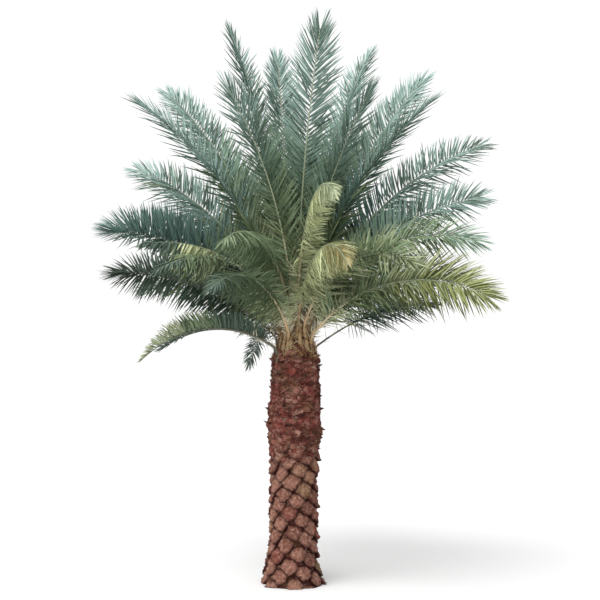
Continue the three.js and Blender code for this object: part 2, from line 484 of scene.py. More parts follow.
def cut_wood(settings):
    """Weathered palm wood, cut with a blade: dry rough faces with open pores, dark fibre in the gaps, and
    painted shade where the faces slope down into the gaps.
    """
    material = new_material("palm_wood_cut_and_weathered")
    place = add_node(material, "ShaderNodeTexCoord").outputs["Object"]
    blotches = pattern(material, place, 30, detail=5)
    pores = pattern(material, place, 9, detail=5, rough=0.7)
    specks = pattern(material, place, 26)
    faces = (
        (0.0, linear("84423a")),
        (0.1, settings.wood_dull),
        (0.4, linear("8b5f50")),
        (0.8, settings.wood_pale),
        (0.95, linear("936d55")),
        (1.0, linear("7d6b4c")),
    )
    # along runs from 0 at a leaf base's root to 1 at the middle of its face. Where it is low, on the sides
    # that slope down into the gaps, the colour goes to the gap colour: painted shade.
    depth = add_node(material, "ShaderNodeAttribute", {"attribute_name": "along"}).outputs["Fac"]
    ragged = add_node(material, "ShaderNodeMapRange", Value=pores, To_Min=-0.12, To_Max=0.12).outputs[0]
    edge = add_node(material, "ShaderNodeMath", {"operation": "ADD"}, _0=depth, _1=ragged).outputs[0]
    colour = stained(
        material,
        toned(material, "tone", faces),
        (blotches, 0.52, 0.66, 0.7, linear("b08a7a")),
        (specks, 0.55, 0.7, 0.6, linear("c09a8a")),
        (specks, 0.48, 0.32, 0.8, linear("552f24")),
        (pores, 0.45, 0.7, 0.6, settings.gap_fibre_and_shade),
        # painted shade: the sides of each leaf base darken to the gap colour, with a ragged rim
        (edge, 0.8, 0.36, 1.0, settings.gap_fibre_and_shade),
    )
    return finish(material, pores, (0.72, 0.95), (0.8, 5), Base_Color=colour, Specular_IOR_Level=0.2)


def sheath(name, *tones, by="tone"):
    """Old leaf sheath and its fibre: dull, dry and streaked. tones are its colours, by piece or by height."""
    material = new_material(name)
    place = add_node(material, "ShaderNodeTexCoord").outputs["Object"]
    strands = pattern(material, place, 8, stretch=(1, 1, 2.5), detail=5, rough=0.75)
    patches = pattern(material, place, 60, stretch=(1.5, 1.5, 0.8))
    hues = pattern(material, place, 150, detail=2)
    colour = stained(
        material,
        toned(material, by, [(i / (len(tones) - 1), tone) for i, tone in enumerate(tones)]),
        (hues, 0.52, 0.66, 0.4, linear("8e3f38")),
        (hues, 0.47, 0.35, 0.55, linear("6a4a30")),
        (patches, 0.54, 0.68, 0.45, linear("a98a7c")),
        (patches, 0.5, 0.34, 0.8, linear("3d1e17")),
        (strands, 0.5, 0.68, 0.6, linear("35190f")),
        (strands, 0.42, 0.3, 0.4, linear("a0705e")),
    )
    return finish(material, strands, (0.75, 1.0), (0.9, 6), Base_Color=colour, Specular_IOR_Level=0.2)


def stalk(name, foot, bare, rib, rib_tip):
    """A leaf stalk's smooth fibrous skin: its colours at the clasping foot, bare stalk, rib and thin end."""
    material = new_material(name)
    place = add_node(material, "ShaderNodeAttribute", {"attribute_name": "grain"}).outputs["Vector"]
    streaks = pattern(material, place, 7, stretch=(1, 1, 14))
    flecks = pattern(material, place, 22, stretch=(1, 1, 2), detail=3)
    stretches = ((0.0, foot), (0.07, foot), (0.12, bare), (0.24, bare), (0.34, rib), (1.0, rib_tip))
    colour = stained(
        material,
        toned(material, "along", stretches),
        (streaks, 0.4, 0.7, 0.5, linear("76603f")),
        (flecks, 0.58, 0.7, 0.35, linear("553f26")),
    )
    return finish(material, streaks, (0.45, 0.65), (0.4, 1.2), Base_Color=colour)


def leaflet_skin(name, colour):
    """A palm leaflet: tough skin under a dull bloom of wax, ribbed by fine veins along its length.

    The veins are drawn 3 mm apart, coarser than they are, so that they show.
    """
    material = new_material(name)
    place = add_node(material, "ShaderNodeAttribute", {"attribute_name": "grain"}).outputs["Vector"]
    veins = pattern(material, place, 3, stretch=(1, 1, 40), detail=2)
    inputs = {"Base_Color": (*colour, 1), "Specular_IOR_Level": 0.35}
    return finish(material, veins, (0.48, 0.66), (0.25, 0.4), **inputs)


def plain_paint(colour):
    """Matt white paint on the studio's floor."""
    material = new_material("studio_floor_matt_paint")
    shader = add_node(material, "ShaderNodeBsdfPrincipled", Base_Color=(*colour, 1), Roughness=0.9)
    add_node(material, "ShaderNodeOutputMaterial", Surface=shader.outputs[0])
    return material


# ---------------------------------------------------------------- settings


def colour_property(name, description, value):
    return FloatVectorProperty(
        name=name, description=description, subtype="COLOR", size=3, min=0, max=1, default=linear(value)
    )


def length_property(name, description, value, low=0.0, high=10.0):
    return FloatProperty(name=name, description=description, unit="LENGTH", default=value, min=low, max=high)


class PalmTrunkSettings(bpy.types.PropertyGroup):
    """Sizes and colours of the trunk's surface."""

    base_rise: length_property("Base rise", "Height from each leaf base to the next on the spiral", 0.0132)
    face_proud: length_property("Face", "How far a cut face stands off the trunk's solid", 0.0)
    gap_depth: length_property("Gap depth", "How deep the gaps between leaf bases are", 0.03)
    scraps: IntProperty(name="Scraps", description="Torn stubs of leaf bases", default=760, min=0)
    rags: IntProperty(name="Rags", description="Torn strips of leaf sheath", default=170, min=0)
    strands: IntProperty(name="Strands", description="Loose strands of fibre", default=2600, min=0)
    wood_pale: colour_property("Pale wood", "Cut faces, dry and weathered", "93695a")
    wood_dull: colour_property("Dull wood", "Cut faces, older", "70493c")
    # The gap colour is dark fibre between the leaf bases, darkened further as painted shade in the gaps. It
    # also darkens the open pores.
    gap_fibre_and_shade: colour_property("Gap", "Dark fibre between the leaf bases", "33130c")
    fibre_dark: colour_property("Dark fibre", "Sheath and fibre in the shade", "45201a")
    fibre_red: colour_property("Red fibre", "Sheath and fibre, moist", "773f36")
    fibre_light: colour_property("Light fibre", "Sheath and fibre, dry", "8b5b4d")
    fibre_fresh: colour_property("Fresh fibre", "Sheath torn open", "b18c7e")
    heart: colour_property("Heart fibre", "Fibre between the living stalks", "b98d4f")


class PalmCrownSettings(bpy.types.PropertyGroup):
    """Sizes and colours of the fronds."""

    leaflet_gap: length_property("Leaflet spacing", "Along each side of a rib", 0.0128, 0.005)
    leaflet_length: length_property("Leaflet length", "The longest, at the middle of a frond", 0.38)
    leaflet_width: length_property("Leaflet width", "At its widest", 0.018)
    spines: IntProperty(name="Spines", description="On each side of a stalk", default=46, min=0)
    stalk_foot: colour_property("Stalk foot", "Where a stalk clasps the trunk", "c8a87e")
    stalk: colour_property("Stalk", "Bare stalk", "decfab")
    rib: colour_property("Rib", "Between the leaflets", "a0ad8b")
    rib_tip: colour_property("Rib tip", "The thin end of the rib", "95a890")
    old_stalk: colour_property("Old stalk", "Bare stalk of the oldest fronds", "4d5048")
    spine: colour_property("Spine", "Spines of the stalk", "e0dabc")
    # A darker copy of the spine colour, dealt to some spines at random: painted shade among the lit spines.
    shaded_spine: colour_property("Old spine", "Weathered spines of the stalk", "544a30")
    # The dark and shaded leaf colours are the dull green of old fronds, darkened as painted shade for the low
    # fronds in the crown's shade.
    leaf_dark: colour_property("Dark leaf", "The oldest leaflets", "4b594d")
    leaf_shaded: colour_property("Shaded leaf", "The oldest fronds", "566a5c")
    leaf_deep: colour_property("Deep teal leaf", "Fronds that spread on the shaded side", "66847c")
    leaf_cool: colour_property("Turquoise leaf", "Waxy young leaflets", "97b2a9")
    leaf_blue: colour_property("Blue-green leaf", "Upright fronds", "87a197")
    leaf_mid: colour_property("Mid green leaf", "Spreading fronds", "7f9984")
    leaf_green: colour_property("Green leaf", "Older spreading fronds", "7f9270")
    # Olive is an olive green lightened as painted light, against the shade in the heart of the crown next to
    # the stalks.
    leaf_olive: colour_property("Olive leaf", "Leaflets next to the bare stalks", "a1aa83")
    leaf_sage: colour_property("Sage leaf", "Fronds that arch to the front", "a4ad8c")
    leaf_sunlit: colour_property("Sunlit leaf", "Arched fronds on the sunny side", "8f9660")
    leaf_pale: colour_property("Pale leaf", "The sunniest leaflets", "ccd2a6")
    leaf_straw: colour_property("Straw leaf", "Leaflets that fade at the tips", "a89f70")


class PalmStageSettings(bpy.types.PropertyGroup):
    """Camera, floor and light."""

    camera_distance: length_property("Camera distance", "In front of the trunk's foot", 7.5, 1.0, 50.0)
    camera_height: length_property("Camera height", "Above the ground", 1.65)
    camera_side: length_property("Camera side", "To the right of the trunk's foot", 0.0687)
    camera_tilt: FloatProperty(
        name="Camera tilt", description="Above level", default=math.radians(7.25), subtype="ANGLE"
    )
    camera_lens: FloatProperty(name="Lens", description="Focal length in millimetres", default=47.4)
    floor: colour_property("Floor", "Matt floor", "f8f8f8")
    sky_strength: FloatProperty(name="Sky", description="Strength of the soft light", default=0.6)
    sun_strength: FloatProperty(name="Sun", description="Strength of the main light", default=3.2)


class PalmSettings(bpy.types.PropertyGroup):
    """Everything a user would change."""

    trunk: PointerProperty(type=PalmTrunkSettings)
    crown: PointerProperty(type=PalmCrownSettings)
    stage: PointerProperty(type=PalmStageSettings)


# ---------------------------------------------------------------- trunk


BASE_CORNERS = 36
CORNER_SHARPNESS = 10  # how square the corners of a leaf base are
SPIRAL_STEPS = np.array([5, 8, 13, -5, -8, -13])  # the leaf bases that border each one, along the spiral
SHAFT_OVERLAP = 0.13  # how far the cut leaf bases go on under the collar
ROW_ERRORS = (0.006, 0.026)  # how far a leaf base is off its place: up in metres, and round in radians
PACKING = ((0.0, 1.03), (0.4, 1.08), (1.0, 1.16))  # how far leaf bases overfill their cells, by height
BASE_LEAN = -0.25  # how much less a leaf base's upper edge stands out, for each metre up
BASE_SIZES = (0.95, 1.07)  # its size, as a share of its cell
BASE_SCATTER = [[0.003], [0.09], [0.13]]  # how much its offset and its two slants differ from the usual
BASE_RELIEF = 0.014  # how uneven its face is

# Where a leaf base ends if no neighbour limits it: the way there, and how far. Its foot comes to a point.
BASE_LIMITS = np.array(
    [(0.0, 0.058), (0.088, 0.0), (-0.088, 0.0), (0.045, -0.05), (-0.045, -0.05), (0.0, -0.068)]
)

# A leaf base from its root to the middle of its face: its share of its outline, and how far it stands out,
# as a share of the gap's depth.
BASE_SECTIONS = np.array(
    [
        (1.06, -1.5),
        (1.05, -1.0),
        (1.02, -0.5),
        (0.97, -0.24),
        (0.87, -0.03),
        (0.68, 0.1),
        (0.44, 0.17),
        (0.2, 0.17),
    ]
)
SCRAP_SECTIONS = np.array([(1.05, -1.0), (1.08, -0.3), (1.0, 0.0), (0.72, 0.05), (0.35, 0.0)])
SCRAP_CORNERS = 13
SCRAP_HALF_WIDTHS = (0.022, 0.046)
SCRAP_FLATNESS = (0.45, 0.95)  # its height as a share of its width
SCRAP_TEAR = 0.32  # how deep the tears of its rim are, as a share
SCRAP_DEPTH, SCRAP_RELIEF = 0.03, 0.004
SCRAP_SLANTS = [[-0.001], [0.22], [0.0]]  # its offset, and how much its top and its right edge stand out
SCRAP_SCATTER = [[0.006], [0.3], [0.25]]
SCRAP_ERRORS = (0.006, 0.05)  # how far a stub is off its place: up in metres, and round in radians
SCRAPS_BELOW = 0.03  # how far below the collar's foot the stubs begin
SCRAPS_EXTRA = 0.05  # how much longer than the collar their stretch is
CORE_STATIONS, HEAD_STATIONS, CORE_CORNERS = 190, 50, 112
SHAFT_SINK, COLLAR_SINK = 0.8, 0.35  # how deep the fibre lies, as a share of the gap's depth
COLLAR_BLEND = 0.12  # the height over which the fibre rises from the one to the other
SHORT_SPIKES = 64
SPIKE_LENGTHS, SPIKE_RISES, SPIKE_HALF_WIDTHS = (0.026, 0.052), (-0.4, 0.9), (0.022, 0.032)
SPIKE_ROOT, STRAND_ROOT, RAG_ROOT = -0.02, -0.003, -0.004  # where they start, off the trunk's surface
SPIKE_BEND = 0.01  # how far its tip bends up

# Loose strands: ranges for length, slant and half width, and how far their ends usually stand off.
COLLAR_STRANDS = ((0.04, 0.14), (0.3, 1.5), (0.0011, 0.0026), 0.007)
HEART_STRANDS = ((0.05, 0.13), (0.0, 1.3), (0.0016, 0.0044), 0.022)
RAG_LENGTHS, RAG_SLANTS, RAG_LIFTS, RAG_HALF_WIDTHS = (0.05, 0.15), (0.8, 1.8), (0.002, 0.026), (0.004, 0.013)

# Broken stalks that stand out from the collar: their angle in degrees, height, length and upward lean.
LONG_SPIKES = np.array(
    [
        (183, 1.42, 0.085, 0.5),
        (176, 1.56, 0.075, 0.25),
        (187, 1.76, 0.055, 0.4),
        (190, 1.3, 0.055, 0.2),
        (4, 1.34, 0.06, -0.3),
        (-3, 1.4, 0.085, -0.45),
        (6, 1.57, 0.07, 0.0),
        (-5, 1.97, 0.07, 0.15),
        (2, 2.06, 0.055, 0.3),
        (182, 2.02, 0.055, 0.5),
        (-8, 1.22, 0.055, -0.5),
        (-14, 1.68, 0.06, 0.2),
        (196, 1.9, 0.05, 0.3),
    ]
)


def base_outlines(radius, rise, corners):
    """Each leaf base's reach in every direction: its cell between its neighbours, with rounded corners."""
    turns = (SPIRAL_STEPS * GOLDEN_TURN + math.pi) % (2 * math.pi) - math.pi
    sideways = radius[:, None] * turns
    near = np.stack([sideways, np.broadcast_to(SPIRAL_STEPS * rise, sideways.shape)], axis=-1)
    limits = np.broadcast_to(2 * BASE_LIMITS, (len(radius), *BASE_LIMITS.shape))
    near = np.concatenate([near, limits], axis=1)
    nearness = np.maximum(near @ oval(corners, 1, 1).T, 0) / (np.sum(near**2, axis=-1, keepdims=True) / 2)
    return np.sum(nearness**CORNER_SHARPNESS, axis=1) ** (-1 / CORNER_SHARPNESS)


def stub_rings(angle, height, outline, sections, depth, slants, rough):
    """Stubs that stand on the trunk: each outline, shrunk section by section, from its root to its face.

    slants hold each stub's proud offset, and how much further its top and its right edge stand out for
    each metre. rough is the height of the face's unevenness.
    """
    places = outline[..., None] * oval(outline.shape[1], 1, 1)
    across, up = np.moveaxis(sections[:, 0][:, None, None] * places[:, None], -1, 0)
    angles = angle[:, None, None] + across / trunk_radius(height)[:, None, None]
    heights = height[:, None, None] + up
    face = smooth_step(np.arange(len(sections)), 0.2, 2.2)[None, :, None]
    offset, upward, sideways = slants[..., None, None]
    plain = on_trunk(angles, heights, 0.0)
    uneven = rough * (ripple(plain, 0.045, SEED + 1) + 0.5 * ripple(plain, 0.017, SEED + 2))
    out = sections[:, 1][None, :, None] * depth + face * (offset + upward * up + sideways * across + uneven)
    rings = on_trunk(angles, heights, out)
    return rings, rings[:, -1].mean(axis=1)


def cut_base_rings(settings, rng):
    """The rows of cut leaf bases up the shaft, each leaning a little further out at its lower edge."""
    numbers = np.arange(-3, round((COLLAR_FOOT + SHAFT_OVERLAP) / settings.base_rise))
    count = len(numbers)
    height = numbers * settings.base_rise + rng.normal(0, ROW_ERRORS[0], count)
    angle = numbers * GOLDEN_TURN + rng.normal(0, ROW_ERRORS[1], count)
    outline = base_outlines(trunk_radius(height), settings.base_rise, BASE_CORNERS)
    outline = outline * (profile(height, PACKING) * rng.uniform(*BASE_SIZES, count))[:, None]
    turns = circle(BASE_CORNERS)
    wander = np.stack(np.broadcast_arrays(np.cos(turns), np.sin(turns), numbers[:, None]), axis=-1)
    outline = outline * (1 + 0.11 * ripple(wander, 0.9, SEED) + 0.07 * ripple(wander, 0.35, SEED + 8))
    slants = rng.normal([[settings.face_proud], [BASE_LEAN], [0.0]], BASE_SCATTER, (3, count))
    return stub_rings(angle, height, outline, BASE_SECTIONS, settings.gap_depth, slants, BASE_RELIEF)


def scrap_rings(settings, rng):
    """The collar's torn stubs: small, ragged, overlapping and leaning every way."""
    count = settings.scraps
    number = np.arange(count)
    spacing = (NECK + SCRAPS_EXTRA - COLLAR_FOOT) * number / count
    height = COLLAR_FOOT - SCRAPS_BELOW + spacing + rng.normal(0, SCRAP_ERRORS[0], count)
    angle = number * GOLDEN_TURN + rng.normal(0, SCRAP_ERRORS[1], count)
    turns = circle(SCRAP_CORNERS)
    wide = rng.uniform(*SCRAP_HALF_WIDTHS, (count, 1))
    tall = wide * rng.uniform(*SCRAP_FLATNESS, (count, 1))
    outline = 1 / np.sqrt((np.cos(turns) / wide) ** 2 + (np.sin(turns) / tall) ** 2)
    tears = rng.uniform(-SCRAP_TEAR, SCRAP_TEAR, outline.shape)
    outline = outline * (1 + tears * (0.5 + 0.5 * (np.sin(turns) > 0)))
    slants = rng.normal(SCRAP_SLANTS, SCRAP_SCATTER, (3, count))
    slants[0] += 0.008 * ripple(on_trunk(angle, height, 0.0), 0.16, SEED + 7)
    return stub_rings(angle, height, outline, SCRAP_SECTIONS, SCRAP_DEPTH, slants, SCRAP_RELIEF)


def trunk_core_rings(settings):
    """The fibre under the leaf bases and over the head: dark and deep below, where its colour is painted
    shade as well as dark fibre, banded and ragged above.
    """
    head = np.linspace(NECK, HEAD_TOP, HEAD_STATIONS)[1:]
    heights = np.concatenate([np.linspace(0, NECK, CORE_STATIONS), head])
    height, angle = np.meshgrid(heights, circle(CORE_CORNERS), indexing="ij")
    plain = on_trunk(angle, height, 0.0)
    collar = smooth_step(height, COLLAR_FOOT, COLLAR_FOOT + COLLAR_BLEND)
    ragged = 0.006 * ripple(plain * [1, 1, 3.2], 0.11, SEED + 3) + 0.003 * ripple(plain, 0.025, SEED + 4)
    sunk = settings.gap_depth * (SHAFT_SINK * (1 - collar) + COLLAR_SINK * collar)
    return on_trunk(angle, height, ragged - sunk)[None]


def wrapped(count, heights, lengths, slants, stations, rng):
    """Strips that wrap the trunk both ways, with ranges for their height, length and slant.

    Gives their stations as shares of their length, and those stations' heights and angles.
    """
    start = rng.uniform(*heights, count)
    length = rng.uniform(*lengths, count)
    slant = rng.choice([-1, 1], count) * rng.uniform(*slants, count)
    angle = rng.uniform(0, 2 * math.pi, count)
    share = np.linspace(0, 1, stations)
    height = start[:, None] + np.outer(length * np.cos(slant), share)
    turned = angle[:, None] + np.outer(length * np.sin(slant) / trunk_radius(start), share)
    return share, height, turned


def strand_rings(count, heights, kind, rng):
    """Loose strands on the trunk, of a kind, in a range of heights."""
    lengths, slants, half_widths, loose = kind
    share, height, turned = wrapped(count, heights, lengths, slants, 5, rng)
    lift = rng.gamma(1.5, loose, count)
    bow = rng.uniform(0.0, 0.9 * loose + 0.003, count)
    proud = STRAND_ROOT + np.outer(bow, np.sin(share * math.pi)) + np.outer(lift, share**2)
    path = on_trunk(turned, height, proud)
    path += 0.004 * ripple(path, 0.05, SEED + 5)[..., None]
    half = rng.uniform(*half_widths, count)[:, None] * (1 - 0.6 * share)
    offsets = oval(3, 1, 0.5, math.pi / 6) * half[..., None, None]
    rings = sweep(path, unit(np.gradient(path, axis=1)), outward(turned), offsets)
    return rings[:, :-1], path[:, -1]


def rag_rings(settings, rng):
    """Torn strips of leaf sheath that wrap the collar and curl off it at their ends."""
    count = settings.rags
    heights = (COLLAR_FOOT, NECK + 0.1)
    share, height, turned = wrapped(count, heights, RAG_LENGTHS, RAG_SLANTS, 7, rng)
    lift = rng.uniform(*RAG_LIFTS, count)
    proud = RAG_ROOT + 0.012 * np.sin(share * math.pi) + np.outer(lift, share**2.5)
    path = on_trunk(turned, height, proud)
    taper = profile(share, ((0, 0.7), (0.3, 1), (0.8, 0.8), (1, 0.3)))
    half = rng.uniform(*RAG_HALF_WIDTHS, count)[:, None] * taper * (1 + 0.3 * ripple(path, 0.03, SEED + 6))
    turns = circle(6)
    curl = 0.0018 * np.sin(turns) + 0.15 * half[..., None] * np.cos(2 * turns)
    offsets = np.stack([half[..., None] * np.cos(turns), curl], axis=-1)
    return sweep(path, unit(np.gradient(path, axis=1)), outward(turned, 0.3), offsets)


def spike_rings(rng):
    """Near-black pointed stubs of broken stalks round the collar: the long ones, and a scatter of short ones.
    Their blackness is partly dead stalk and partly painted shade, which darkens the collar's edges.
    """
    height = rng.uniform(COLLAR_FOOT - 0.02, NECK + 0.02, SHORT_SPIKES)
    length = rng.uniform(*SPIKE_LENGTHS, SHORT_SPIKES)
    rise = rng.uniform(*SPIKE_RISES, SHORT_SPIKES)
    angle = np.degrees(np.arange(SHORT_SPIKES) * GOLDEN_TURN)
    spikes = np.concatenate([LONG_SPIKES, np.stack([angle, height, length, rise], axis=-1)])
    angle, height, length, rise = spikes.T
    angle = np.radians(angle)
    swing = rng.normal(0, 0.2, len(angle))[:, None]
    share = np.linspace(0, 0.85, 4)
    way = unit(outward(angle, rise) + outward(angle + math.pi / 2) * swing)
    width = rng.uniform(*SPIKE_HALF_WIDTHS, len(angle))[:, None] * (1 - share)
    root = on_trunk(angle, height, SPIKE_ROOT)
    path = root[:, None] + way[:, None] * (length[:, None] * share)[..., None]
    path += UP * (SPIKE_BEND * share**2)[:, None]
    along = np.broadcast_to(way[:, None], path.shape)
    rings = sweep(path, along, np.broadcast_to(UP, path.shape), oval(7, 0.9, 1) * width[..., None, None])
    return rings, root + way * length[:, None] + UP * SPIKE_BEND


class PALM_OT_trunk(bpy.types.Operator):
    """Covers the shaft: dark fibre, and the cut leaf bases in their spiral rows"""

    bl_idname = "palm.trunk"
    bl_label = "Shaft"
    # Covers the shaft: dark fibre with painted shade, and the cut leaf bases in their spiral rows

    def execute(self, context):
        settings = context.scene.date_palm.trunk
        rng = np.random.default_rng(SEED)
        gap, dark, red = settings.gap_fibre_and_shade, settings.fibre_dark, settings.fibre_red
        # The fibre low on the shaft takes the gap colour: dark fibre and painted shade deep between the leaf
        # bases.
        matted = sheath("palm_fibre_matted", gap, gap, gap, dark, red, red, dark, dark, by="along")
        add_piece(tube_mesh("trunk_fibre", trunk_core_rings(settings)), [matted], ["trunk"])
        rings, tips = cut_base_rings(settings, rng)
        add_piece(tube_mesh("cut_leaf_bases", rings, tips), [cut_wood(settings)])
        return {"FINISHED"}


class PALM_OT_collar(bpy.types.Operator):
    """Covers the collar: torn stubs and strips of leaf sheath, loose strands and broken stalks"""

    bl_idname = "palm.collar"
    bl_label = "Collar"

    def execute(self, context):
        settings = context.scene.date_palm.trunk
        rng = np.random.default_rng(SEED + 10)
        dark, red, light = settings.fibre_dark, settings.fibre_red, settings.fibre_light
        fresh, heart = settings.fibre_fresh, settings.heart
        cream = linear("e2d6ae")
        new_growth = (linear("4a3522"), heart, linear("d6b878"), fresh, cream, heart, cream)
        torn = sheath("palm_leaf_sheath_torn", dark, red, dark, red, light, dark, red, light, fresh)
        dry = sheath("palm_fibre_dry", dark, light, fresh)
        living = sheath("palm_fibre_fresh", *new_growth)
        # near-black stubs: dead stalk, and painted shade along the collar's edges
        black = sheath("palm_stalk_dead_and_painted_shade", linear("1c0f0c"), linear("2c1813"))
        rings, tips = scrap_rings(settings, rng)
        add_piece(tube_mesh("collar_stubs", rings, tips), [torn])
        add_piece(tube_mesh("collar_rags", rag_rings(settings, rng)), [torn])
        heights = (COLLAR_FOOT - 0.1, NECK + 0.02)
        rings, tips = strand_rings(settings.strands, heights, COLLAR_STRANDS, rng)
        add_piece(tube_mesh("collar_strands", rings, tips), [dry])
        heights = (NECK - 0.04, HEAD_TOP - 0.12)
        rings, tips = strand_rings(settings.strands // 2, heights, HEART_STRANDS, rng)
        add_piece(tube_mesh("heart_strands", rings, tips), [living])
        rings, tips = spike_rings(rng)
        add_piece(tube_mesh("collar_spikes", rings, tips), [black])
        return {"FINISHED"}


# ---------------------------------------------------------------- how fronds hold their leaflets


PALETTE = "dark shaded deep cool blue mid green olive sage sunlit pale straw".split()

# How a frond holds its leaflets.
# plume: how far their planes stand apart, as a share of RANKS.
# lift: how far the planes are raised above the blade, in degrees.
# roll: how far the blade turns about its rib on the way to its tip, in degrees.
# spread: how much wider than usual they stand off the rib, in degrees.
# droop: how far their ends curve down, as a share of their length.
# size: their length, as a share of the longest.
# crowd: how many there are, as a share of the usual number.
# bunch: how far apart the four leaflets of a bunch are, as a share of an even spacing.
# taper: how much shorter than usual they are at the tip, as a share.
# dim: how often they get the dim skin, painted shade from the others, as a share of the usual chance.
# bare: the share of the frond that is bare stalk.
# aged: whether its stalk is old and dark.
# tint: their colours on the palette, from the stalk to the tip.
Habit = namedtuple("Habit", "plume lift roll spread droop size crowd bunch taper dim bare aged tint")
TIER_HABITS = {
    "inner": Habit(0.5, 6, 0, 2, 0.03, 0.9, 1.3, 0.7, 0, 1.3, 0.1, False, "olive green mid blue cool"),
    "upper": Habit(0.85, 10, 0, 4, 0.05, 0.95, 1.3, 0.6, 0, 1.1, 0.1, False, "olive mid mid blue cool"),
    "middle": Habit(1.0, 10, 0, 10, 0.07, 0.95, 1.45, 0.6, 0, 1, 0.1, False, "olive green mid blue"),
    "lower": Habit(1.0, 4, 0, 10, 0.12, 0.95, 1.3, 0.5, 0, 1, 0.1, False, "olive green green mid"),
    "bottom": Habit(0.8, 8, 0, 4, 0.14, 0.75, 1.2, 0.6, 0, 1, 0.12, True, "dark shaded"),
}
ARCH = dict(plume=0.3, lift=-58, roll=50, spread=16, droop=0.3, size=0.85, crowd=1.4, taper=0.6, dim=0.2)
HANGING = dict(plume=0.9, lift=-35, spread=22, droop=0.25, size=0.75, taper=0.35)
FLAT_HANGING = HANGING | dict(plume=0.4, lift=-58)
FROND_HABITS = {
    "inner_1": dict(plume=0.7, roll=-15, spread=14, size=1.0, tint="olive green mid cool blue cool"),
    "inner_3": dict(plume=0.6, spread=6, tint="olive green green mid blue cool"),
    "inner_6": dict(tint="green mid cool cool"),
    "upper_1": dict(plume=0.6, roll=35, spread=6, tint="olive green mid blue cool"),
    "upper_2": dict(plume=0.6, roll=30, dim=1.5, tint="olive green deep blue blue"),
    "upper_3": ARCH | dict(size=0.66, crowd=1.1, spread=8, dim=0.3, tint="sage pale pale pale sage sage"),
    "upper_4": dict(plume=0.6, roll=-30, spread=8, tint="olive green blue cool cool"),
    "upper_5": dict(plume=0.6, roll=-40, spread=8, tint="olive green mid blue cool"),
    "middle_1": dict(
        plume=0.6, roll=50, spread=18, size=0.9, crowd=1.2, dim=1.4, tint="mid deep blue blue"
    ),
    "middle_2": dict(
        plume=0.7, roll=60, spread=26, size=0.85, crowd=1.7, dim=1.2, tint="green mid blue blue"
    ),
    "middle_3": dict(roll=15, droop=0.08, size=0.8, crowd=1.5, dim=0.6, tint="olive olive green olive"),
    "middle_4": ARCH | dict(size=0.78, crowd=1.3, dim=0.2, tint="pale pale pale pale straw straw"),
    "middle_5": FLAT_HANGING | dict(lift=-50, tint="olive green green green"),
    "middle_6": HANGING | dict(dim=1.3, tint="olive green shaded sage green shaded"),
    "middle_7": FLAT_HANGING | dict(
        spread=26, size=0.85, taper=0.7, dim=0.6, tint="olive green green sage pale pale shaded shaded"
    ),
    "middle_8": dict(
        plume=1.3, lift=38, spread=44, size=1.2, crowd=3.4, bunch=0.9, taper=0.2,
        tint="green green deep deep deep",
    ),
    "middle_9": dict(plume=0.6, roll=-45, spread=14, dim=1.3, tint="olive blue cool"),
    "lower_1": dict(plume=0.5, roll=35, spread=14, tint="olive green sunlit"),
    "lower_2": dict(
        plume=0.45, roll=45, spread=20, size=0.85, crowd=1.7, dim=0.7, tint="olive olive olive green mid"
    ),
    "lower_3": dict(
        plume=0.35, roll=52, spread=20, droop=0.08, size=1.2, crowd=1.8, taper=0.3, dim=1.1,
        tint="olive green olive sunlit sunlit",
    ),
    "lower_4": HANGING | dict(dim=1.6, tint="olive green green shaded"),
    "lower_5": dict(
        plume=1.4, lift=6, spread=38, size=0.8, crowd=3.1, aged=True, tint="green shaded shaded dark"
    ),
    "bottom_1": dict(
        lift=-5, droop=0.2, size=0.9, crowd=1.6, taper=0.4, bare=0.27, tint="shaded shaded dark"
    ),
    "bottom_2": dict(
        plume=0.8, lift=70, spread=28, droop=0.0, size=0.55, crowd=1.2, taper=0.6, dim=1.2,
        tint="shaded shaded green sage sage",
    ),
    "bottom_3": dict(size=0.5),
    "bottom_4": dict(lift=60, droop=0.0, size=0.5),
}


def habit_of(frond):
    return TIER_HABITS[frond.tier]._replace(**FROND_HABITS.get(frond.name.removeprefix("frond_"), {}))


# ---------------------------------------------------------------- stalks and ribs


RIB_CORNERS = 10
FOOT_STATIONS = 9
RIB_STATIONS = 36
FOOT_DROP = 0.24  # how far below its seat a stalk's foot starts on the trunk
FOOT_JOIN = 0.07  # how far along the rib the foot has become the stalk
FOOT_DEPTH = 0.012  # how far inside the trunk's surface the foot starts
CLASPED_RADIUS = 0.17  # the foot is hollowed to fit a trunk of this radius
RIB_HALF_WIDTHS = (0.02, 0.0175, 0.014, 0.0115, 0.0105, 0.0035)  # from the clasping foot to the thin end
RIB_DEPTHS = (0.009, 0.012, 0.011, 0.003)
STALK_SHARE = 0.15  # the share of a frond along which the stalk narrows
INNER_REACH, REACH = 0.12, 0.2  # how far the last leaflets of a frond reach, in the inner tier and others
SPINE_HALF_WIDTH = 0.0038
SPINE_STATIONS = np.array([0.0, 0.45, 0.8])
SPINE_OUTLINE = np.array([1.0, 0.75, 0.4])
SPINE_LENGTHS = ((0.1, 0.08), (0.3, 0.12), (0.6, 0.16))  # by how far along the stalk they stand
SHADED_SPINE_SHARE = 0.24  # of all spines: the share that get the darker copy, painted shade among the lit spines


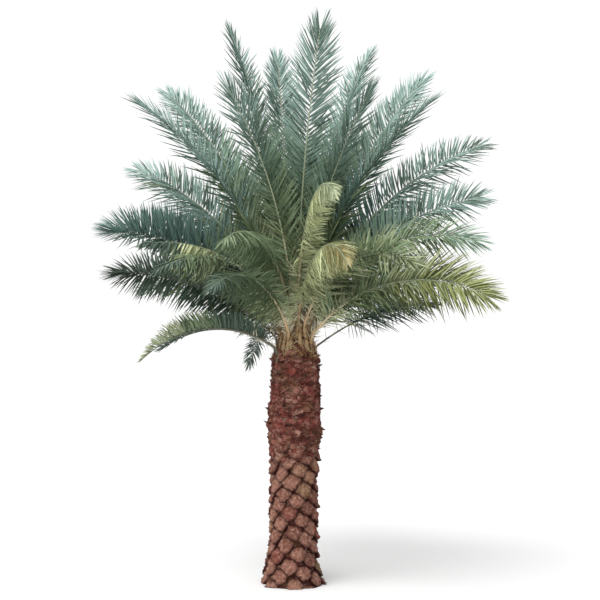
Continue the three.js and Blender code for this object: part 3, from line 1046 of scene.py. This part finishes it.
def foot_path(frond):
    """A stalk's clasping foot, from inside the trunk, up over its surface and out along the rib."""
    seat = frond.at(0.0)[0]
    low = seat[2] - FOOT_DROP
    begin = trunk_middle(low) + frond.out * (trunk_radius(low) - FOOT_DEPTH)
    join, along, _, _ = frond.at(FOOT_JOIN)
    reach = np.linalg.norm(join - begin)
    slope = (trunk_radius(low + 0.1) - trunk_radius(low)) / 0.1
    leave = unit(UP + frond.out * (slope + 0.25)) * reach
    arrive = along * reach
    share = np.linspace(0, 1, FOOT_STATIONS, endpoint=False)[:, None]
    return (
        (2 * share**3 - 3 * share**2 + 1) * begin
        + (share**3 - 2 * share**2 + share) * leave
        + (3 * share**2 - 2 * share**3) * join
        + (share**3 - share**2) * arrive
    )


def tip_reach(frond):
    """How far the last leaflets reach past where they start."""
    return (INNER_REACH if frond.tier == "inner" else REACH) * min(habit_of(frond).size, 1.0)


def rib_end(frond):
    """Where a rib ends, which is just past its last leaflets."""
    return frond.length - 0.8 * tip_reach(frond)


def rib_half_width(frond, distance):
    neck = STALK_SHARE * frond.length + 0.1
    return np.interp(distance, (-FOOT_DROP, -0.02, FOOT_JOIN, 0.25, neck, rib_end(frond)), RIB_HALF_WIDTHS)


def rib_rings(frond):
    """A frond's stalk and rib in one piece, with where each station is along the frond."""
    end = rib_end(frond)
    run = FOOT_JOIN + (end - FOOT_JOIN) * np.linspace(0, 1, RIB_STATIONS) ** 1.25
    path = np.concatenate([foot_path(frond), frond.at(run)[0]])
    distance = np.concatenate([np.linspace(-FOOT_DROP, FOOT_JOIN, FOOT_STATIONS, endpoint=False), run])
    along = unit(np.gradient(path, axis=0))
    face = np.cross(along, frond.across)
    half = rib_half_width(frond, distance)
    deep = np.interp(distance, (-FOOT_DROP, FOOT_JOIN, STALK_SHARE * frond.length, end), RIB_DEPTHS)
    turns = circle(RIB_CORNERS)
    clasp = np.interp(distance, (-FOOT_DROP, FOOT_JOIN), (1.0, 0.15)) * half**2 / (2 * CLASPED_RADIUS)
    raised = deep[:, None] * np.sin(turns) * np.where(np.sin(turns) > 0, 0.55, 1.0)
    raised += clasp[:, None] * np.cos(turns) ** 2
    offsets = np.stack([half[:, None] * np.cos(turns), raised], axis=-1)
    rings = sweep(path[None], along[None], face[None], offsets[None])[0]
    return rings, np.clip(distance / frond.length, 0, 1)


def spine_seats(frond, count, rng):
    """Where spines stand on both edges of a bare stalk, how they point and face, and their length."""
    distance = np.repeat(np.linspace(0.0, habit_of(frond).bare * frond.length + 0.12, count), 2)
    distance = distance + rng.normal(0, 0.012, len(distance))
    side = np.tile([1.0, -1.0], count)[:, None]
    point, along, across, face = frond.at(distance)
    rank = rng.uniform(-0.8, 1.2, len(distance))[:, None]
    lean = rng.uniform(0.55, 1.15, len(distance))[:, None]
    sideways = side * across * np.cos(rank) + face * np.sin(rank)
    way = unit(along * np.cos(lean) + sideways * np.sin(lean))
    root = point + across * side * 0.9 * rib_half_width(frond, distance)[:, None]
    length = profile(distance, SPINE_LENGTHS) * rng.uniform(0.75, 1.25, len(distance))
    return root, way, face, length


def spine_rings(root, way, face, length):
    path = root[:, None] + way[:, None] * (length[:, None] * SPINE_STATIONS)[..., None]
    offsets = oval(5, 1, 0.7) * (SPINE_HALF_WIDTH * SPINE_OUTLINE)[None, :, None, None]
    along = np.broadcast_to(way[:, None], path.shape)
    rings = sweep(path, along, np.broadcast_to(face[:, None], path.shape), offsets)
    return rings, root + way * length[:, None]


class PALM_OT_ribs(bpy.types.Operator):
    """Gives every frond its clasping foot, bare stalk and rib, tier by tier"""

    bl_idname = "palm.ribs"
    bl_label = "Stalks and ribs"

    def execute(self, context):
        settings = context.scene.date_palm.crown
        fresh = (settings.stalk_foot, settings.stalk, settings.rib, settings.rib_tip)
        living = stalk("palm_stalk_fresh", *fresh)
        old = stalk("palm_stalk_old", *[settings.old_stalk] * 3, settings.leaf_shaded)
        for tier, slot in TIER_SLOTS.items():
            fronds, nodes = fronds_of(tier)
            rings, along = (np.array(part) for part in zip(*(rib_rings(frond) for frond in fronds)))
            aged = np.array([int(habit_of(frond).aged) for frond in fronds])
            mesh = tube_mesh(f"{tier}_ribs", rings, shades=aged, along=along)
            add_piece(mesh, [living, old][: aged.max() + 1], nodes)
        return {"FINISHED"}


class PALM_OT_spines(bpy.types.Operator):
    """Sets the spines on the edges of the bare stalks"""

    bl_idname = "palm.spines"
    bl_label = "Spines"

    def execute(self, context):
        settings = context.scene.date_palm.crown
        rng = np.random.default_rng(SEED + 20)
        many, few = settings.spines, settings.spines // 5
        seats = [spine_seats(frond, few if habit_of(frond).aged else many, rng) for frond in FRONDS]
        rings, tips = spine_rings(*(np.concatenate(part) for part in zip(*seats)))
        horn = leaflet_skin("palm_spine_horn", settings.spine)
        # Some spines, dealt at random, get the darker copy: painted shade among the lit spines.
        weathered = leaflet_skin("palm_spine_painted_shade", settings.shaded_spine)
        aged = (rng.uniform(size=len(rings)) < SHADED_SPINE_SHARE).astype(int)
        mesh = tube_mesh("stalk_spines", rings, tips, shades=aged)
        add_piece(mesh, [horn, weathered])
        return {"FINISHED"}


# ---------------------------------------------------------------- leaflets


# A leaflet from its root towards its tip: half width as a share, and how far each half is folded up.
LEAF_STATIONS = np.array([0.0, 0.18, 0.5, 0.8])
LEAF_OUTLINE = np.array([0.45, 0.95, 0.9, 0.48])
LEAF_FOLD = np.radians([40, 28, 18, 10])
LEAF_HALF_THICKNESS = 0.0007
LEAF_BOW = 0.09  # how far a leaflet's end bends towards the frond's tip, as a share of its length
LEAVES_IN_SPRAY = 8
DIM_SHARES = np.array([0.39, 0.42, 0.37])  # the dim skin's colour as a share of the lit one: painted shade for a leaflet in the shade of the others
DIM_CHANCES = np.array([0.12, 0.4, 0.95, 0.25])  # how often a spray of each plane gets the dim skin of painted shade
RANKS = np.radians([62, 10, -46, 33])  # leaflets stand in four planes, one after the other
CLOSING = 0.12  # how much closer leaflets start near the stalk

# Along a frond, from 0 at its first leaflets to 1 at its last.
RANK_SHARES = ((0, 1), (0.8, 0.9), (1, 0.4))
LEANS = ((0, 60), (0.3, 46), (0.6, 42), (0.85, 37), (1, 12))  # off the rib, in degrees
SPREAD_SHARES = ((0, 0.6), (0.8, 1), (1, 0.2))
LENGTHS = ((0, 0.65), (0.1, 0.9), (0.4, 1.0), (0.7, 0.97), (0.9, 0.85), (1, 0.6))
WIDTHS = ((0, 0.6), (0.2, 1), (0.8, 0.9), (1, 0.7))
SPEAR_LEAVES = 90


def rolled(across, face, turn):
    """Directions across and up through a blade, after it turns about its rib."""
    turn = turn[:, None]
    return across * np.cos(turn) + face * np.sin(turn), face * np.cos(turn) - across * np.sin(turn)


def leaflet_seats(frond, settings, rng):
    """Every leaflet of a frond: where it starts, how it points and faces, its size, droop and colour."""
    habit = habit_of(frond)
    first = habit.bare * frond.length
    last = frond.length - tip_reach(frond)
    pairs = round(habit.crowd * (last - first) / settings.leaflet_gap)
    order = np.repeat(np.arange(pairs), 2)
    count = len(order)
    side = np.tile([1.0, -1.0], pairs)
    plane = (order + 2 * (side > 0)) % len(RANKS)
    bunched = order - (1 - habit.bunch) * (plane - (len(RANKS) - 1) / 2)
    share = (bunched + 0.5) / pairs
    share = (1 - CLOSING) * share + CLOSING * share**2
    distance = first + (last - first) * share + rng.normal(0, 0.003, count)
    point, along, across, face = frond.at(distance)
    turn = math.radians(habit.roll + rng.normal(0, 3)) * smooth_step(share, 0.0, 0.3)
    across, face = rolled(across, face, turn)
    rank = habit.plume * RANKS[plane] + math.radians(habit.lift)
    rank = (rank * profile(share, RANK_SHARES) + rng.normal(0, 0.14, count))[:, None]
    lean = np.radians(profile(share, LEANS) + habit.spread * profile(share, SPREAD_SHARES))
    lean = (lean + rng.normal(0, 0.1, count))[:, None]
    side = side[:, None]
    sideways = side * across * np.cos(rank) + face * np.sin(rank)
    inner_face = face * np.cos(rank) - side * across * np.sin(rank)
    look = unit(0.85 * inner_face - 0.35 * along + rng.normal(0, 0.2, (count, 3)))
    length = settings.leaflet_length * habit.size * rng.uniform(0.84, 1.06, count)
    length = length * profile(share, LENGTHS) * (1 - habit.taper * smooth_step(share, 0.55, 1))
    width = settings.leaflet_width / 2 * profile(share, WIDTHS) * rng.uniform(0.88, 1.12, count)
    edge = 0.85 * rib_half_width(frond, distance)[:, None]
    return {
        "root": point + across * side * edge - face * 0.3 * edge,
        "way": unit(along * np.cos(lean) + sideways * np.sin(lean)),
        "look": look,
        "forward": along,
        "length": length,
        "width": width,
        "droop": habit.droop * rng.uniform(0.7, 1.3, count),
        "shade": spray_shades(habit, order, plane, rng),
    }


def spray_shades(habit, order, plane, rng):
    """One colour for each spray, which is a few neighbouring leaflets of one plane. The lower plane is most
    often dim, in painted shade.

    A colour is twice its number on the palette, and one more for its dim skin, a darker copy that paints the
    shade of the leaflets above.
    """
    tints = habit.tint.split()
    spray = order // LEAVES_IN_SPRAY * len(RANKS) + plane
    count = spray.max() + 1
    places = np.linspace(-0.4, len(tints) - 0.6, count) + rng.normal(0, 0.4, count)
    numbers = np.array([PALETTE.index(tint) for tint in tints])
    chosen = numbers[np.clip(np.round(places), 0, len(tints) - 1).astype(int)]
    # Dim sprays get the painted-shade skin; they are rare next to the stalk, where the olive leaflets are
    # painted light instead.
    chance = habit.dim * DIM_CHANCES[np.arange(count) % len(RANKS)]
    dim = rng.uniform(size=count) < chance * smooth_step(np.linspace(0, 1, count), -0.2, 0.35)
    return (2 * chosen + dim)[spray]


def leaflet_rings(seats):
    """Leaflets as folded blades that curve over with their own weight."""
    share = LEAF_STATIONS[None, :, None]
    length = seats["length"][:, None, None]
    root, way, forward, look = (seats[key][:, None] for key in ("root", "way", "forward", "look"))
    bend = forward * LEAF_BOW - UP * seats["droop"][:, None, None]
    path = root + length * (way * share + bend * share**2)
    along = unit(way + 2 * bend * share)
    half = seats["width"][:, None] * LEAF_OUTLINE
    spread, raised = half * np.cos(LEAF_FOLD), half * np.sin(LEAF_FOLD)
    thick = np.full_like(half, LEAF_HALF_THICKNESS)
    corners = ((spread, raised), (0 * half, thick), (-spread, raised), (0 * half, -thick))
    offsets = np.stack([np.stack(corner, axis=-1) for corner in corners], axis=2)
    tips = (root + length * (way + bend))[:, 0]
    return sweep(path, along, np.broadcast_to(look, path.shape), offsets), tips


def leaf_skins(settings):
    """Each colour of the palette as a lit skin and a dim one, which is a darker copy: painted shade."""
    skins = []
    for name in PALETTE:
        colour = np.array(getattr(settings, f"leaf_{name}"))
        skins.append(leaflet_skin(f"palm_leaf_{name}_waxy", colour))
        skins.append(leaflet_skin(f"palm_leaf_{name}_dim", colour * DIM_SHARES))
    return skins


class PALM_OT_leaflets(bpy.types.Operator):
    """Sets the leaflets along every rib, tier by tier"""

    bl_idname = "palm.leaflets"
    bl_label = "Leaflets"

    def execute(self, context):
        settings = context.scene.date_palm.crown
        skins = leaf_skins(settings)
        rng = np.random.default_rng(SEED + 30)
        for tier, slot in TIER_SLOTS.items():
            fronds, nodes = fronds_of(tier)
            made = [leaflet_seats(frond, settings, rng) for frond in fronds]
            seats = {key: np.concatenate([part[key] for part in made]) for key in made[0]}
            rings, tips = leaflet_rings(seats)
            used, shades = np.unique(seats["shade"], return_inverse=True)
            mesh = tube_mesh(f"{tier}_leaflets", rings, tips, shades=shades, creased=True)
            add_piece(mesh, [skins[i] for i in used], nodes)
        return {"FINISHED"}


class PALM_OT_spear(bpy.types.Operator):
    """Packs the unopened leaves together at the heart of the crown"""

    bl_idname = "palm.spear"
    bl_label = "Spear"

    def execute(self, context):
        settings = context.scene.date_palm.crown
        rng = np.random.default_rng(SEED + 40)
        low, high = (np.array(corner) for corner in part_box("spear"))
        count = SPEAR_LEAVES
        height = low[2] - 0.04 + (high[2] - low[2]) * 0.62 * rng.uniform(0, 1, count) ** 1.1
        out = outward(np.arange(count) * GOLDEN_TURN)
        root = (low + high) / 2 + out * 0.008
        root[:, 2] = height
        seats = {
            "root": root,
            "way": unit(UP + out * rng.uniform(0.02, 0.06, (count, 1))),
            "look": -out,
            "forward": np.broadcast_to(UP, out.shape),
            "length": np.minimum(rng.uniform(0.26, 0.4, count), high[2] - height),
            "width": rng.uniform(0.007, 0.011, count),
            "droop": np.zeros(count),
        }
        rings, tips = leaflet_rings(seats)
        folded = leaflet_skin("palm_spear_folded_leaf", settings.leaf_pale)
        mesh = tube_mesh("spear_leaves", rings, tips, creased=True)
        add_piece(mesh, [folded], ["spear"])
        return {"FINISHED"}


# ---------------------------------------------------------------- stage


FLOOR_RADIUS = 45.0
FLOOR_CORNERS = 96
FLOOR_GAP = 0.002  # keeps the floor just under the trunk's cut
SENSOR_WIDTH = 36  # in millimetres
VIEW_END = 200
SUN_SIZE = math.radians(70)
SUN_TURN = (math.radians(42), 0, math.radians(-36))
SEEN_SKY = 1.05  # how bright the sky is where it is seen, and not a source of light


class PALM_OT_stage(bpy.types.Operator):
    """Sets the camera, the pale floor and the soft light"""

    bl_idname = "palm.stage"
    bl_label = "Stage"

    def execute(self, context):
        settings = context.scene.date_palm.stage
        self.add_camera(context.scene, settings)
        self.add_floor(context.scene, settings)
        self.add_light(context.scene, settings)
        return {"FINISHED"}

    def add_camera(self, scene, settings):
        data = bpy.data.cameras.new("camera")
        data.lens = settings.camera_lens
        data.sensor_width = SENSOR_WIDTH
        data.clip_end = VIEW_END
        camera = bpy.data.objects.new("camera", data)
        camera.location = (settings.camera_side, -settings.camera_distance, settings.camera_height)
        camera.rotation_euler = (math.pi / 2 + settings.camera_tilt, 0, 0)
        scene.collection.objects.link(camera)
        scene.camera = camera

    def add_floor(self, scene, settings):
        mesh = bpy.data.meshes.new("floor")
        points = FLOOR_RADIUS * outward(circle(FLOOR_CORNERS)) - FLOOR_GAP * UP
        mesh.from_pydata(points.tolist(), [], [tuple(range(FLOOR_CORNERS))])
        mesh.materials.append(plain_paint(settings.floor))
        floor = bpy.data.objects.new("floor", mesh)
        scene.collection.objects.link(floor)

    def add_light(self, scene, settings):
        scene.view_settings.view_transform = "Standard"
        world = bpy.data.worlds.new("soft_light")
        world.use_nodes = True
        scene.world = world
        background = world.node_tree.nodes["Background"]
        background.inputs["Color"].default_value = (1, 1, 1, 1)
        seen = add_node(world, "ShaderNodeLightPath").outputs["Is Camera Ray"]
        strength = add_node(
            world, "ShaderNodeMapRange", Value=seen, To_Min=settings.sky_strength, To_Max=SEEN_SKY
        )
        world.node_tree.links.new(strength.outputs[0], background.inputs["Strength"])
        sun = bpy.data.lights.new("main_light", "SUN")
        sun.energy = settings.sun_strength
        sun.angle = SUN_SIZE
        lamp = bpy.data.objects.new("main_light", sun)
        lamp.rotation_euler = SUN_TURN
        scene.collection.objects.link(lamp)


# ---------------------------------------------------------------- add-on


OPERATORS = (
    PALM_OT_stage,
    PALM_OT_trunk,
    PALM_OT_collar,
    PALM_OT_ribs,
    PALM_OT_spines,
    PALM_OT_leaflets,
    PALM_OT_spear,
)


class PALM_PT_sidebar(bpy.types.Panel):
    """The pieces of the palm, in the order they are made"""

    bl_label = "Date palm"
    bl_idname = "PALM_PT_sidebar"
    bl_space_type = "VIEW_3D"
    bl_region_type = "UI"
    bl_category = "Date palm"

    def draw(self, context):
        for operator in OPERATORS:
            self.layout.operator(operator.bl_idname)
        palm = context.scene.date_palm
        for group in (palm.trunk, palm.crown, palm.stage):
            for name in group.bl_rna.properties.keys():
                if name not in ("rna_type", "name"):
                    self.layout.prop(group, name)


CLASSES = (
    PalmTrunkSettings,
    PalmCrownSettings,
    PalmStageSettings,
    PalmSettings,
    *OPERATORS,
    PALM_PT_sidebar,
)


def register():
    for cls in CLASSES:
        bpy.utils.register_class(cls)
    bpy.types.Scene.date_palm = PointerProperty(type=PalmSettings)


def unregister():
    del bpy.types.Scene.date_palm
    for cls in reversed(CLASSES):
        bpy.utils.unregister_class(cls)


def main():
    register()
    bpy.ops.palm.stage()
    bpy.ops.palm.trunk()
    bpy.ops.palm.collar()
    bpy.ops.palm.ribs()
    bpy.ops.palm.spines()
    bpy.ops.palm.leaflets()
    bpy.ops.palm.spear()


if __name__ == "__main__":
    main()
